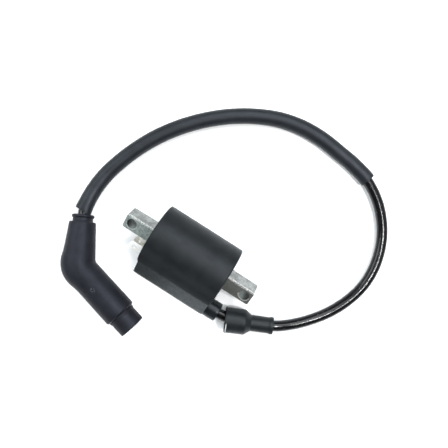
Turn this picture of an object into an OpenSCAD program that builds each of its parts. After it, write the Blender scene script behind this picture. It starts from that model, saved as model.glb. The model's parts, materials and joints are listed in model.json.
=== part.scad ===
// Ignition coil for a small engine, with its high-tension lead and elbow plug cap.
// It lies on a bench: +Z up, +X along the core towards the high-tension outlet,
// origin at the middle of the coil's box, on the bench.

/* [Coil body] */
// Radius of the round body
body_r = 20.3; // [19:0.1:22]
// Length of the body
body_len = 52.5; // [48:0.5:60]
// Half height of the lobe that carries the outlet
lobe_r = 6.8; // [6.6:0.1:7.4]
// Distance from the core's axis to the outlet's axis
outlet_offset = 26.5; // [25:0.1:28]
// Angle by which each side of the lobe leans in towards the outlet
lobe_taper = 17; // [0:1:28]
// Radius of the outlet stub
stub_r = 6.3; // [5.5:0.1:6.5]
// Length of the outlet stub
stub_len = 8.5; // [5:0.5:9]
// Wall of the housing
wall = 2; // [1.5:0.1:2.2]

/* [Core] */
// Side of the square core bar
core_w = 10; // [9:0.1:10.4]
// Length of the core bar
core_len = 92; // [84:1:110]
// Distance between the two bolt holes
hole_spacing = 82; // [74:1:82]
// Radius of a bolt hole
hole_r = 3.25; // [2.5:0.05:3.5]
// Number of plate packs in the core
pack_count = 5; // [3:1:8]

/* [Spade terminals] */
// Width of a spade
spade_w = 6.3; // [4.8:0.1:6.3]
// Thickness of a spade
spade_t = 0.8; // [0.5:0.1:1]
// How far a spade stands out of the body
spade_out = 10.5; // [7:0.5:12]
// Distance between the two spades
spade_gap = 8; // [7:0.5:9]
// Distance from the core's axis to the spades' middle line
spade_offset = 14.5; // [13.5:0.1:14.5]

/* [Lead] */
// Radius of the lead's insulation
lead_r = 3.5; // [3.4:0.05:3.5]
// Radius of the lead's conductor
conductor_r = 1.35; // [1:0.05:1.4]
// Outer radius of the protective sleeve
sleeve_r = 5; // [4.8:0.1:5.2]
// Inner radius of the protective sleeve
sleeve_bore_r = 4.1; // [3.9:0.05:4.3]

/* [Plug cap] */
// Length of the cap's arm towards the lead
arm1_len = 29; // [27:0.5:32]
// Length of the cap's moulded arm towards the plug
arm2_len = 41; // [40:0.5:44]
// Radius of the cap at its elbow
elbow_r = 10.8; // [10.6:0.1:12]
// Radius of the cap's collar at the lead
collar_r = 8.3; // [8:0.1:9]
// Radius of the bore that takes the spark plug's insulator
plug_bore_r = 5.3; // [5:0.05:5.6]
// How far the rubber boot stands out of the cap
plug_boot_out = 11.4; // [8:0.1:13]

/* [Hidden] */
$fn = 64;
eps = 0.05;
fit_gap = 0.1;

// The body lies on its round side and on the lobe, which rolls it about the core
roll = asin((body_r - lobe_r) / outlet_offset);
core_z = body_r;
core_y = (outlet_offset * cos(roll) + lobe_r - body_r) / 2;
outlet_y = core_y - outlet_offset * cos(roll);
outlet_z = lobe_r;
half_len = body_len / 2;
stub_end = half_len + stub_len;

// Inside the body
cavity_r = body_r - wall;
end_wall = 2.5;
cavity_end = half_len - end_wall;
resin_recess = 0.8;
windings_r = 16.6;
windings_half = 21;
flange_t = 1.5;
barrel_r = 8.1;
primary_r = 10.4;
wrap_r = 10.95;
primary_flange_r = 11.05;
secondary_barrel_r = 12.2;
sections = 7;
rib_t = 0.8;
section_pitch = (2 * windings_half - rib_t) / sections;
secondary_r = 15.6;
wire_r = 0.4;
tail_r = 9.4;
tail_reach = 12.6;
tail_half_gap = 2;
tail_out = 1.6;
spade_root = 0.4;

// Inside the outlet
lead_bore_r = lead_r + fit_gap;
lead_start = 16.5;
conductor_start = 24.5;
pin_r = 1.5;
pin_start = 6;
conductor_gap = 0.15;
duct_x = windings_half - rib_t - 2.5 * section_pitch + rib_t / 2;

// Boot that has been pulled off the outlet
boot_mouth = [40.6, -19.3, 8.3];
boot_turn = 25;
boot_bell = 13;
boot_neck = 17;
boot_len = 31.5;
boot_r = 8.3;
boot_neck_r = 5.2;
boot_wall = 1.2;
boot_lip = 0.4;
boot_lip_len = 2;

// Elbow cap: place of the elbow and the turn of each arm on the bench
elbow = [-57.4, -41, elbow_r + 0.1];
arm1_turn = 118;
arm2_turn = -15.5;
arm2_r = 10.3;
arm2_end_r = 10.6;
arm1_dip = asin((elbow_r - collar_r) / arm1_len);
arm2_dip = asin((elbow_r - arm2_end_r) / arm2_len);
seal_depth = 6;
seal_r = 5.5;
neck_len = 2.9;
sleeve_gap = 2.2;
seal_flange_t = 1.8;
seal_end = arm1_len + neck_len + seal_flange_t;
screw_top = 19;
screw_base = 11;
screw_foot = 1.2;
screw_r = 1.9;
lead_in_cap = 12;
conductor_in_cap = 20.5;
channel_r = 2.75;
clip_start = 22;
clip_space_r = 4.6;
socket_start = 33;
socket_r = 7.5;
ring_in = 3;
plug_end = arm2_len + plug_boot_out;
resistor_start = 2.2;
resistor_end = 19;
resistor_r = 2.3;
cup_t = 2;
spring_turns = 4;
spring_end = 24;
spring_wire_r = 0.25;
spring_r = 2.2;

function unit(v) = v / norm(v);
// Direction of a line on the bench: turned about Z, and dipping below level
function heading(turn, dip) = [cos(turn) * cos(dip), sin(turn) * cos(dip), -sin(dip)];
function boot_at(s) = boot_mouth + s * heading(boot_turn, 0);
function cap_at(s) = elbow + s * heading(arm1_turn, arm1_dip);

// Middle line of the lead, from inside the outlet to inside the cap
ROUTE = concat(
    [[lead_start, outlet_y, outlet_z], [conductor_start, outlet_y, outlet_z],
     [stub_end + 1, outlet_y, outlet_z], [44.5, -16.8, 7.4], boot_at(15), boot_at(32)],
    [[78, 0, 6.5], [87.5, 9.2, 4.8], [96, 20.4, 3.8], [102.2, 33, 3.6], [105.8, 46.6, 3.6],
     [105.8, 60, 3.6], [102.4, 73.8, 3.6], [95.6, 86.6, 4.2], [84.4, 98.6, 4.8],
     [71.4, 106.6, 5.2], [58.6, 110.4, 5.2], [45.5, 112.3, 5.2], [31, 113.8, 5.2],
     [16, 113.2, 5.2], [1, 109.7, 5.2], [-13, 103.4, 5.2], [-26, 95.2, 5.2],
     [-38, 85.2, 5.2], [-48.7, 73.8, 5.2], [-58, 61.2, 5.2], [-65.6, 47.6, 5.2],
     [-71.4, 33.2, 5.2], [-75.5, 18, 5.4], [-76.2, 3, 6.6]],
    [cap_at(seal_end + sleeve_gap), cap_at(seal_end + 0.5), cap_at(conductor_in_cap), cap_at(lead_in_cap)]);
last_ring = len(ROUTE) - 1;
sleeve_first = 15;
sleeve_last = last_ring - 3;

// Tube swept along the route's points from first to last; it is solid where bore is 0
function tangent(i) = unit(ROUTE[min(i + 1, last_ring)] - ROUTE[max(i - 1, 0)]);
function ring(i, r, sides) =
    let (t = tangent(i), side = unit(cross(t, [0, 0, 1])), up = cross(side, t))
    [for (k = [0 : sides - 1]) ROUTE[i] + r * (cos(360 * k / sides) * side + sin(360 * k / sides) * up)];
function wall_faces(start, rings, sides, flip) =
    [for (j = [0 : rings - 2], k = [0 : sides - 1])
        let (a = start + j * sides + k, b = start + j * sides + (k + 1) % sides)
        flip ? [a, b, b + sides, a + sides] : [a, a + sides, b + sides, b]];
module swept_tube(first, last, r, bore, sides) {
    rings = last - first + 1;
    n = rings * sides;
    outer = [for (i = [first : last]) each ring(i, r, sides)];
    inner = [for (i = [first : last]) each ring(i, bore, sides)];
    if (bore == 0)
        polyhedron(outer, concat(wall_faces(0, rings, sides, false),
            [[for (k = [0 : sides - 1]) k]], [[for (k = [sides - 1 : -1 : 0]) n - sides + k]]));
    else
        polyhedron(concat(outer, inner), concat(
            wall_faces(0, rings, sides, false), wall_faces(n, rings, sides, true),
            [for (k = [0 : sides - 1]) let (m = (k + 1) % sides) [k, m, n + m, n + k]],
            [for (k = [0 : sides - 1]) let (m = (k + 1) % sides, e = n - sides)
                [e + m, e + k, n + e + k, n + e + m]]));
}

// Frames: the coil's own axes, the outlet's axis, and the cap's two arms
module in_coil() { translate([0, core_y, core_z]) rotate([roll, 0, 0]) children(); }
module along_x(x0) { translate([x0, 0, 0]) rotate([0, 90, 0]) children(); }
module at_outlet(x0) { translate([0, -outlet_offset, 0]) along_x(x0) children(); }
module on_arm1() { translate(elbow) rotate([0, 90 + arm1_dip, arm1_turn]) children(); }
module on_arm2() { translate(elbow) rotate([0, 90 + arm2_dip, arm2_turn]) children(); }
module tube(r, bore, h) {
    difference() {
        cylinder(r = r, h = h);
        translate([0, 0, -1]) cylinder(r = bore, h = h + 2);
    }
}
module core_space(x0, x1, gap) {
    side = core_w + 2 * gap;
    translate([x0, -side / 2, -side / 2]) cube([x1 - x0, side, side]);
}

// Outline of the lobe's two flat sides, from inside the body to where they meet the outlet's round.
// The first coordinate is along -Z of the coil and the second along +Y.
function lobe_sides() =
    let (far = -outlet_offset - lobe_r * sin(lobe_taper), near = -body_r / 2,
         thin = lobe_r * cos(lobe_taper), thick = thin + (near - far) * tan(lobe_taper))
    [[-thin, far], [thin, far], [thick, near], [-thick, near]];

module housing() {
    edge = 1;
    color([0.17, 0.18, 0.19])
    in_coil()
    difference() {
        union() {
            along_x(-half_len)
                rotate_extrude($fn = 96)
                    polygon([[0, 0], [body_r - edge / 2, 0], [body_r, edge / 2],
                             [body_r, body_len - edge], [body_r - 0.3 * edge, body_len - 0.3 * edge],
                             [body_r - edge, body_len], [0, body_len]]);
            along_x(-half_len) linear_extrude(body_len) polygon(lobe_sides());
            at_outlet(-half_len) cylinder(r = lobe_r, h = body_len);
            at_outlet(half_len - 1) cylinder(r = stub_r, h = stub_len + 1);
        }
        along_x(-half_len - 1) cylinder(r = cavity_r, h = body_len - end_wall + 1);
        core_space(half_len - end_wall - 1, half_len + 1, fit_gap);
        at_outlet(lead_start - 0.5) cylinder(r = lead_bore_r, h = stub_end - lead_start + 1);
        at_outlet(pin_start - eps) cylinder(r = pin_r + eps, h = lead_start - pin_start);
        leadout_path(wire_r + fit_gap, outlet_offset - pin_r);
    }
}

module leadout_path(r, reach) {
    translate([duct_x, -secondary_r - eps, 0]) rotate([90, 0, 0])
        cylinder(r = r, h = reach - secondary_r - eps);
}

module tail_path(side, r) {
    x_in = -windings_half + flange_t;
    x_out = -windings_half - tail_out;
    translate([x_out, -tail_r, side * tail_half_gap]) along_x(0) cylinder(r = r, h = x_in - x_out);
    translate([x_out, -tail_r, side * tail_half_gap]) sphere(r = r, $fn = 24);
    translate([x_out, -tail_r, side * tail_half_gap]) rotate([90, 0, 0])
        cylinder(r = r, h = tail_reach - tail_r);
}

module potting_resin() {
    x0 = -half_len + resin_recess;
    color([0.12, 0.11, 0.11])
    in_coil()
    difference() {
        along_x(x0) cylinder(r = cavity_r - eps, h = cavity_end - eps - x0);
        along_x(-windings_half - eps) cylinder(r = windings_r + eps, h = 2 * (windings_half + eps));
        core_space(x0 - 1, cavity_end + 1, fit_gap);
        for (side = [-1, 1]) {
            spade_blank(side, eps);
            tail_path(side, wire_r + eps);
        }
        leadout_path(wire_r + eps, outlet_offset);
    }
}

// One plate pack with rounded corners, drilled for both bolts
module plate_pack(t) {
    corner = 1.2;
    difference() {
        union() {
            translate([-core_len / 2 + corner, -core_w / 2, 0])
                cube([core_len - 2 * corner, core_w, t]);
            translate([-core_len / 2, -core_w / 2 + corner, 0])
                cube([core_len, core_w - 2 * corner, t]);
            for (x = [-1, 1], y = [-1, 1])
                translate([x * (core_len / 2 - corner), y * (core_w / 2 - corner), 0])
                    cylinder(r = corner, h = t, $fn = 24);
        }
        for (x = [-1, 1])
            translate([x * hole_spacing / 2, 0, -1]) cylinder(r = hole_r, h = t + 2);
    }
}

module core_laminations() {
    seam = 0.04;
    pitch = (core_w + seam) / pack_count;
    color([0.55, 0.56, 0.55])
    in_coil()
    for (i = [0 : pack_count - 1])
        translate([0, 0, -core_w / 2 + i * pitch]) plate_pack(pitch - seam);
}

module primary_bobbin() {
    color([0.75, 0.72, 0.62])
    in_coil()
    difference() {
        union() {
            along_x(-windings_half) cylinder(r = barrel_r, h = 2 * windings_half);
            for (x = [-windings_half, windings_half - flange_t])
                along_x(x) cylinder(r = primary_flange_r, h = flange_t);
        }
        core_space(-windings_half - 1, windings_half + 1, fit_gap);
        for (side = [-1, 1]) tail_path(side, wire_r + eps);
    }
}

module primary_winding() {
    half = windings_half - flange_t - eps;
    color([0.72, 0.38, 0.16]) in_coil() along_x(-half) tube(primary_r, barrel_r + eps, 2 * half);
}

module primary_wrap() {
    half = windings_half - flange_t - eps;
    color([0.85, 0.72, 0.35]) in_coil() along_x(-half) tube(wrap_r, primary_r + eps, 2 * half);
}

module secondary_bobbin() {
    color([0.78, 0.75, 0.66])
    in_coil()
    difference() {
        union() {
            along_x(-windings_half) cylinder(r = secondary_barrel_r, h = 2 * windings_half);
            for (i = [0 : sections])
                along_x(-windings_half + i * section_pitch) cylinder(r = windings_r, h = rib_t);
        }
        along_x(-windings_half - 1) cylinder(r = primary_flange_r + eps, h = 2 * windings_half + 2);
    }
}

module secondary_winding() {
    color([0.62, 0.28, 0.12])
    in_coil()
    for (i = [0 : sections - 1])
        along_x(-windings_half + i * section_pitch + rib_t + eps)
            tube(secondary_r, secondary_barrel_r + eps, section_pitch - rib_t - 2 * eps);
}

module primary_tails() {
    color([0.72, 0.38, 0.16]) in_coil() for (side = [-1, 1]) tail_path(side, wire_r);
}

// A spade's outline, grown by gap, from its root in the resin to its tip
module spade_blank(side, gap) {
    root = -windings_half - spade_root;
    tip = -half_len - spade_out;
    nose = 1.2;
    translate([0, -spade_offset, side * spade_gap / 2 - spade_t / 2 - gap])
        linear_extrude(spade_t + 2 * gap)
            polygon([[root + gap, -spade_w / 2 - gap], [root + gap, spade_w / 2 + gap],
                     [tip + nose, spade_w / 2 + gap], [tip - gap, spade_w / 2 - nose],
                     [tip - gap, -spade_w / 2 + nose], [tip + nose, -spade_w / 2 - gap]]);
}

module spade(side) {
    lock_r = 1;
    lock_in = 3.6;
    color([0.80, 0.77, 0.70])
    in_coil()
    difference() {
        spade_blank(side, 0);
        translate([-half_len - spade_out + lock_in, -spade_offset, -spade_gap])
            cylinder(r = lock_r, h = spade_gap * 2);
    }
}

module feed_terminal() { spade(-1); }

module earth_terminal() { spade(1); }

module secondary_leadout() {
    color([0.72, 0.38, 0.16]) in_coil() leadout_path(wire_r, outlet_offset - pin_r - eps);
}

module ht_contact_pin() {
    spike = 6;
    color([0.78, 0.62, 0.28])
    in_coil()
    at_outlet(pin_start)
    union() {
        cylinder(r = pin_r, h = lead_start - pin_start - eps);
        translate([0, 0, lead_start - pin_start - eps])
            cylinder(r1 = conductor_r - eps, r2 = 0.3, h = spike);
    }
}

module outlet_boot() {
    slope = 1;
    color([0.10, 0.11, 0.12])
    translate(boot_mouth) rotate([0, 90, boot_turn])
    rotate_extrude()
        polygon([[boot_r - boot_wall, 0], [boot_r, 0], [boot_r, boot_bell],
                 [boot_neck_r, boot_neck], [boot_neck_r, boot_len - boot_lip_len - slope],
                 [boot_neck_r + boot_lip, boot_len - boot_lip_len],
                 [boot_neck_r + boot_lip, boot_len], [lead_bore_r, boot_len],
                 [lead_bore_r, boot_neck - 1.5 * slope], [boot_r - boot_wall, boot_bell - slope]]);
}

module lead_insulation() {
    color([0.05, 0.05, 0.06]) swept_tube(0, last_ring, lead_r, conductor_r + conductor_gap, 12);
}

module lead_conductor() {
    color([0.72, 0.45, 0.25]) swept_tube(1, last_ring - 1, conductor_r, 0, 8);
}

module protective_sleeve() {
    color([0.16, 0.17, 0.19]) swept_tube(sleeve_first, sleeve_last, sleeve_r, sleeve_bore_r, 12);
}

module cap_body() {
    blend = 0.2;
    color([0.18, 0.18, 0.21])
    difference() {
        union() {
            on_arm1() cylinder(r1 = elbow_r - blend, r2 = collar_r, h = arm1_len);
            on_arm2() rotate([0, 0, 90]) sphere(r = elbow_r);
            on_arm2() cylinder(r1 = arm2_r, r2 = arm2_end_r, h = arm2_len);
        }
        on_arm1() translate([0, 0, -screw_foot - eps]) cylinder(r = screw_r + fit_gap, h = arm1_len);
        on_arm1() translate([0, 0, screw_base]) cylinder(r = lead_bore_r, h = arm1_len);
        on_arm1() translate([0, 0, arm1_len - seal_depth]) cylinder(r = seal_r, h = seal_depth + 1);
        on_arm2() cylinder(r = channel_r, h = arm2_len);
        on_arm2() translate([0, 0, clip_start]) cylinder(r = clip_space_r, h = arm2_len);
        on_arm2() translate([0, 0, socket_start]) cylinder(r = socket_r, h = arm2_len);
    }
}

module cap_lead_seal() {
    neck_r = 6.45;
    flange_r = 7.25;
    color([0.15, 0.15, 0.17])
    on_arm1()
    difference() {
        union() {
            translate([0, 0, arm1_len - seal_depth + eps]) cylinder(r = seal_r - eps, h = seal_depth);
            translate([0, 0, arm1_len + eps]) cylinder(r = neck_r, h = neck_len);
            translate([0, 0, arm1_len + neck_len]) cylinder(r = flange_r, h = seal_flange_t);
        }
        cylinder(r = lead_bore_r, h = seal_end + 1);
    }
}

module cap_plug_boot() {
    root_r = 9.7;
    groove_r = 8.9;
    end_r = 8.8;
    round = 0.8;
    step = 1.2;
    slope = 1;
    color([0.15, 0.15, 0.18])
    on_arm2()
    rotate_extrude()
        polygon([[plug_bore_r, socket_start + fit_gap], [socket_r - fit_gap, socket_start + fit_gap],
                 [socket_r - fit_gap, arm2_len + eps], [root_r, arm2_len + eps],
                 [root_r, arm2_len + step], [groove_r, arm2_len + step + slope], [end_r, plug_end - round],
                 [end_r - round, plug_end], [plug_bore_r, plug_end]]);
}

module cap_lead_screw() {
    thread = 1.25;
    root = 0.85;
    pitch = 1.6;
    turns = 4;
    color([0.78, 0.62, 0.28])
    on_arm1()
    union() {
        translate([0, 0, -screw_foot]) cylinder(r = screw_r, h = screw_base + screw_foot - eps);
        translate([0, 0, screw_base - eps]) cylinder(r1 = root, r2 = 0.3, h = screw_top - screw_base);
        for (i = [0 : turns - 1])
            translate([0, 0, screw_base + 0.6 + i * pitch])
                cylinder(r1 = thread - 0.12 * i, r2 = 0.3, h = pitch / 2);
    }
}

module cap_resistor() {
    color([0.86, 0.84, 0.80])
    on_arm2() translate([0, 0, resistor_start + eps])
        cylinder(r = resistor_r, h = resistor_end - resistor_start - 2 * eps);
}

module resistor_end_cups() {
    cup_r = 2.65;
    bare_end = 0.8;
    color([0.70, 0.70, 0.68])
    on_arm2()
    for (s = [resistor_start + bare_end, resistor_end - cup_t])
        translate([0, 0, s]) tube(cup_r, resistor_r + eps, cup_t);
}

// Helical spring, its wire swept round the helix as one closed tube
module cap_spring() {
    steps = 16;
    sides = 6;
    s0 = resistor_end + spring_wire_r + eps;
    rise = (spring_end - spring_wire_r - eps - s0) / spring_turns;
    rings = spring_turns * steps + 1;
    points = [for (j = [0 : rings - 1]) let (a = 360 * j / steps, z = s0 + rise * j / steps)
        for (k = [0 : sides - 1]) let (b = 360 * k / sides)
            [(spring_r + spring_wire_r * cos(b)) * cos(a), (spring_r + spring_wire_r * cos(b)) * sin(a),
             z + spring_wire_r * sin(b)]];
    n = rings * sides;
    color([0.6, 0.6, 0.62])
    on_arm2()
    polyhedron(points, concat(wall_faces(0, rings, sides, true),
        [[for (k = [sides - 1 : -1 : 0]) k]], [[for (k = [0 : sides - 1]) n - sides + k]]));
}

module cap_plug_clip() {
    clip_r = 4.4;
    clip_bore_r = 3.3;
    floor_t = 1.2;
    slot_w = 0.8;
    slot_floor = 3;
    groove_w = 1;
    groove_depth = 0.5;
    color([0.78, 0.62, 0.28])
    on_arm2()
    difference() {
        translate([0, 0, spring_end + eps]) cylinder(r = clip_r, h = socket_start - spring_end - 2 * eps);
        translate([0, 0, spring_end + floor_t]) cylinder(r = clip_bore_r, h = socket_start);
        translate([0, 0, socket_start - ring_in - groove_w / 2])
            tube(clip_r + 1, clip_r - groove_depth, groove_w);
        for (turn = [0, 90])
            rotate([0, 0, turn]) translate([-socket_r, -slot_w / 2, spring_end + slot_floor])
                cube([2 * socket_r, slot_w, socket_start]);
    }
}

module clip_snap_ring() {
    ring_r = 4.2;
    ring_wire_r = 0.27;
    color([0.6, 0.6, 0.62])
    on_arm2()
    translate([0, 0, socket_start - ring_in])
        rotate_extrude(angle = 320) translate([ring_r, 0]) circle(r = ring_wire_r, $fn = 16);
}

housing();
potting_resin();
core_laminations();
primary_bobbin();
primary_winding();
primary_wrap();
secondary_bobbin();
secondary_winding();
primary_tails();
feed_terminal();
earth_terminal();
secondary_leadout();
ht_contact_pin();
outlet_boot();
lead_insulation();
lead_conductor();
protective_sleeve();
cap_body();
cap_lead_seal();
cap_plug_boot();
cap_lead_screw();
cap_resistor();
resistor_end_cups();
cap_spring();
cap_plug_clip();
clip_snap_ring();
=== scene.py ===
"""Looks of the ignition coil. Shapes are worked out in millimetres and written in metres."""

import json
import math
import bmesh
import bpy
import numpy as np
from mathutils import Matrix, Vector


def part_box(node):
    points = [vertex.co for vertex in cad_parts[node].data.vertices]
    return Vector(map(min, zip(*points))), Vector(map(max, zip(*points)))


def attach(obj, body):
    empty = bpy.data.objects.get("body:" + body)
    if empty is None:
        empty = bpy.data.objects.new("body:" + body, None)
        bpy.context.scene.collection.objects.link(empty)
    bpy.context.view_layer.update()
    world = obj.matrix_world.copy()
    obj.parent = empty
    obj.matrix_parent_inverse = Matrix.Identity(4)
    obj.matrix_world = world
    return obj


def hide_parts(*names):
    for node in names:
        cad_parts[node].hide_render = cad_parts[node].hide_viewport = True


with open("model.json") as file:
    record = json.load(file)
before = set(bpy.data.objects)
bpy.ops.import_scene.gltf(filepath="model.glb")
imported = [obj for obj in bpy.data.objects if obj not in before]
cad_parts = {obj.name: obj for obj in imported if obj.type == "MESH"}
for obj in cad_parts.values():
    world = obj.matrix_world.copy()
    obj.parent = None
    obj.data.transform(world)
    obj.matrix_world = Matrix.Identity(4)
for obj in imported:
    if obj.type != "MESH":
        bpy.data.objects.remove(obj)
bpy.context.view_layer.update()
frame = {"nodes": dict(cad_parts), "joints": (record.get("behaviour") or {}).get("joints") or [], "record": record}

MM = 0.001
TURN = 2 * math.pi
MOUNTS = {mount["name"]: mount for mount in frame["record"]["mounts"]}
SWIVEL = frame["joints"][0]
UP = np.array([0.0, 0.0, 1.0])


# ---------- Places, read from the frame ----------

def unit(vector):
    return np.array(vector, float) / np.linalg.norm(vector)


def node_middle(node):
    """Middle of a CAD node's box, in millimetres."""
    low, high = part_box(node)
    return np.array((low + high) / 2) / MM


def mount_place(name):
    """Point of a mount in millimetres, and its direction."""
    return np.array(MOUNTS[name]["pos_m"]) / MM, unit(MOUNTS[name]["axis"])


class Axes:
    """A local frame: its origin in millimetres, and its three directions as rows."""

    def __init__(self, origin, first, third):
        first = unit(first)
        second = unit(np.cross(third, first))
        self.origin = np.array(origin, float)
        self.rows = np.array([first, second, np.cross(first, second)])

    def out(self, points):
        return self.origin + np.asarray(points, float) @ self.rows

    def inward(self, points):
        return (np.asarray(points, float) - self.origin) @ self.rows.T


hole_a, hole_axis = mount_place("bolt_hole_terminal_end")
hole_b, _ = mount_place("bolt_hole_outlet_end")
COIL = Axes((hole_a + hole_b) / 2, hole_b - hole_a, hole_axis)
HOLE_SPACING = np.linalg.norm(hole_b - hole_a)
HOLE_R = MOUNTS["bolt_hole_terminal_end"]["dims"]["r_mm"]
CORE_W = MOUNTS["bolt_hole_terminal_end"]["dims"]["length_mm"]
OUTLET_OFFSET = -COIL.inward(node_middle("ht_contact_pin"))[1]

BODY_R = 20.3
LOBE_R = 6.8
LOBE_TAPER = math.radians(17)
WALL = 2.0
END_WALL = 2.5
STUB_R = 6.3
LEAD_R = 3.5
BORE_R = 3.6
SLEEVE_R = 5.0
SLEEVE_BORE_R = 4.1
JACKET_BORE_R = 1.5
SPADE_W = 6.3
SPADE_T = 0.8
HOUSING_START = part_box("housing")[0].x / MM
STUB_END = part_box("housing")[1].x / MM
STUB_LEN = 8.5
HOUSING_END = STUB_END - STUB_LEN

# The cap's arms: each one's line, and the elbow where they meet
ARM1_LEN = 29.0
ARM2_LEN = 41.0
plug_mouth, arm2_way = mount_place("plug_socket")
arm1_way = unit(SWIVEL["axis"])
ELBOW = np.array(SWIVEL["pos_m"]) / MM - ARM1_LEN * arm1_way
PLUG_END = np.linalg.norm(plug_mouth - ELBOW)
ARM1 = Axes(ELBOW, arm1_way, UP)
ARM2 = Axes(ELBOW, arm2_way, UP)
SEAL_NECK = 2.9
SEAL_FLANGE = 1.8
SLEEVE_GAP = 2.2
SEAL_END = ARM1_LEN + SEAL_NECK + SEAL_FLANGE
CONDUCTOR_IN_CAP = 20.5
LEAD_IN_CAP = 12

# The boot that was pulled off the outlet
BOOT_MOUTH = np.array([40.6, -19.3, 8.3])
BOOT_TURN = math.radians(25)
BOOT_LEN = 31.5
BOOT = Axes(BOOT_MOUTH, [math.cos(BOOT_TURN), math.sin(BOOT_TURN), 0], UP)


def boot_at(s):
    return BOOT.out([s, 0, 0])


def cap_at(s):
    return ARM1.out([s, 0, 0])


# ---------- Camera ----------

CAMERA_PLACE = (0.007, 0.03265, 0.350)
CAMERA_ROLL = math.radians(32.5)
camera_data = bpy.data.cameras.new("camera")
camera_data.lens = 42.35
camera_data.sensor_width = 36
camera = bpy.data.objects.new("camera", camera_data)
camera.location = CAMERA_PLACE
camera.rotation_euler = (0, 0, CAMERA_ROLL)
bpy.context.scene.collection.objects.link(camera)
bpy.context.scene.camera = camera


# ---------- Mesh tools ----------

def skin(rings, loop=True):
    """Points and quads of the surface through rings of equally many points."""
    count, sides = len(rings), len(rings[0])
    faces = []
    for j in range(count if loop else count - 1):
        a, b = j * sides, (j + 1) % count * sides
        for k in range(sides):
            m = (k + 1) % sides
            faces.append((a + k, a + m, b + m, b + k))
    return np.concatenate(rings), faces


def build(name, local, world, faces, body, slot, material, replaces=(), sharp=38):
    """Makes a piece. local is each point in the piece's own straight axes, for its textures."""
    mesh = bpy.data.meshes.new(name)
    mesh.from_pydata((np.asarray(world) * MM).tolist(), [], faces)
    own = mesh.attributes.new("own_place", "FLOAT_VECTOR", "POINT")
    own.data.foreach_set("vector", np.asarray(local, np.float32).ravel())
    shape = bmesh.new()
    shape.from_mesh(mesh)
    bmesh.ops.recalc_face_normals(shape, faces=shape.faces)
    shape.to_mesh(mesh)
    shape.free()
    mesh.shade_smooth()
    mesh.set_sharp_from_angle(angle=math.radians(sharp))
    mesh.materials.append(material)
    piece = bpy.data.objects.new(name, mesh)
    bpy.context.scene.collection.objects.link(piece)
    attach(piece, body)
    if replaces:
        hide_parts(*replaces)
    return piece


def soften(corners, steps=5):
    """A closed outline with each corner (a, b, radius) rounded to its radius."""
    outline = []
    for i, (a, b, radius) in enumerate(corners):
        here = np.array([a, b], float)
        before = np.array(corners[i - 1][:2], float)
        after = np.array(corners[(i + 1) % len(corners)][:2], float)
        if radius == 0:
            outline.append(here)
            continue
        back, on = unit(before - here), unit(after - here)
        half = math.acos(np.clip(back @ on, -1, 1)) / 2
        reach = radius / math.tan(half)
        centre = here + unit(back + on) * radius / math.sin(half)
        start, end = here + back * reach - centre, here + on * reach - centre
        swing = math.pi - 2 * half
        side = np.sign(start[0] * end[1] - start[1] * end[0])
        for t in np.linspace(0, swing, steps):
            c, s = math.cos(t), math.sin(t) * side
            outline.append(centre + [start[0] * c - start[1] * s, start[0] * s + start[1] * c])
    return outline


def split_long(outline, longest):
    """The same closed outline with its long sides cut into shorter ones."""
    points = []
    for here, after in zip(outline, outline[1:] + outline[:1]):
        cuts = max(1, math.ceil(np.linalg.norm(after - here) / longest))
        points += [here + (after - here) * j / cuts for j in range(cuts)]
    return points


def turned(axes, outline, sides=96, wobble=None):
    """A turned piece: its closed outline of (place along the axis, radius), swept round."""
    rings = []
    for s, r in outline:
        angles = np.arange(sides) * TURN / sides
        radii = r + (wobble(s, angles) if wobble else 0 * angles)
        rings.append(np.column_stack([np.full(sides, s), radii * np.cos(angles), radii * np.sin(angles)]))
    local, faces = skin(rings)
    return local, axes.out(local), faces


def smooth_route(points, step, cuts=12):
    """Centripetal spline through given points, cut into equal steps."""
    points = np.array(points, float)
    ghost = [2 * points[0] - points[1], *points, 2 * points[-1] - points[-2]]
    fine = []
    for p0, p1, p2, p3 in zip(ghost, ghost[1:], ghost[2:], ghost[3:]):
        t1 = np.linalg.norm(p1 - p0) ** 0.5
        t2 = t1 + np.linalg.norm(p2 - p1) ** 0.5
        t3 = t2 + np.linalg.norm(p3 - p2) ** 0.5
        for t in np.linspace(t1, t2, cuts, endpoint=False):
            a1 = (t1 - t) / t1 * p0 + t / t1 * p1
            a2 = (t2 - t) / (t2 - t1) * p1 + (t - t1) / (t2 - t1) * p2
            a3 = (t3 - t) / (t3 - t2) * p2 + (t - t2) / (t3 - t2) * p3
            b1 = (t2 - t) / t2 * a1 + t / t2 * a2
            b2 = (t3 - t) / (t3 - t1) * a2 + (t - t1) / (t3 - t1) * a3
            fine.append((t2 - t) / (t2 - t1) * b1 + (t - t1) / (t2 - t1) * b2)
    fine = np.array(fine + [points[-1]])
    lengths = np.concatenate([[0], np.cumsum(np.linalg.norm(np.diff(fine, axis=0), axis=1))])
    at = np.linspace(0, lengths[-1], round(lengths[-1] / step) + 1)
    return at, np.column_stack([np.interp(at, lengths, fine[:, i]) for i in range(3)])


def swept(at, line, section, inner, slant=None, sides=32):
    """A hollow tube along a line. section and inner give its radii at (place, angles).
    slant gives how far a ring leans along the line for each millimetre outwards."""
    ways = np.gradient(line, axis=0)
    rings, straight = [], []
    for radii in (section, inner):
        order = range(len(at)) if radii is section else range(len(at) - 1, -1, -1)
        for i in order:
            side = unit(np.cross(ways[i], UP))
            up = unit(np.cross(side, ways[i]))
            angles = np.arange(sides) * TURN / sides
            r = radii(at[i], angles)
            c, s = (r * np.cos(angles))[:, None], (r * np.sin(angles))[:, None]
            lean = c * slant(at[i]) if slant else 0 * c
            rings.append(line[i] + c * side + s * up + lean * unit(ways[i]))
            straight.append(np.column_stack([np.full(sides, at[i]), c, s]))
    world, faces = skin(rings)
    return np.concatenate(straight), world, faces


# ---------- Materials ----------

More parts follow.
